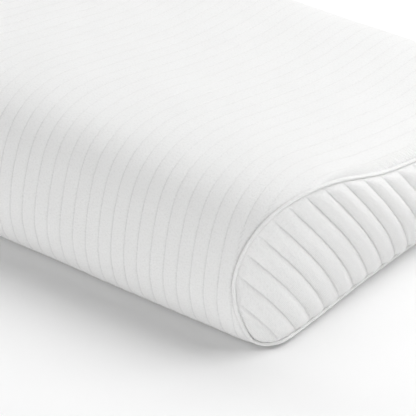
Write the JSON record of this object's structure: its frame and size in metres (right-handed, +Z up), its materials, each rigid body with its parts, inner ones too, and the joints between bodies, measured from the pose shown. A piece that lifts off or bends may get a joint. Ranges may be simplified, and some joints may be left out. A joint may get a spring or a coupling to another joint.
{
  "type": "cervical pillow",
  "caption": "Contoured neck pillow with a high rounded front, a shallow head hollow and a low back, ribbed knit over the filling, diagonally quilted end panels and piped end seams.",
  "frame": {"origin": "on the resting surface, under the middle of the pillow", "axes": "X runs along the pillow from end to end, Y from the high front edge to the low back edge, Z up"},
  "size_m": [0.5946, 0.3674, 0.1277],
  "materials": {
    "ribbed_knit": "fine white knit with narrow sewn rib lines, matt with a soft sheen",
    "quilted_knit": "fine white knit, padded and quilted in channels, matt",
    "piping_knit": "fine white knit drawn tight over a round cord, matt"
  },
  "bodies": {
    "root": {"pillow_body": "ribbed_knit", "end_panel_right": "quilted_knit", "end_panel_left": "quilted_knit", "piping_right": "piping_knit", "piping_left": "piping_knit"}
  },
  "joints": []
}
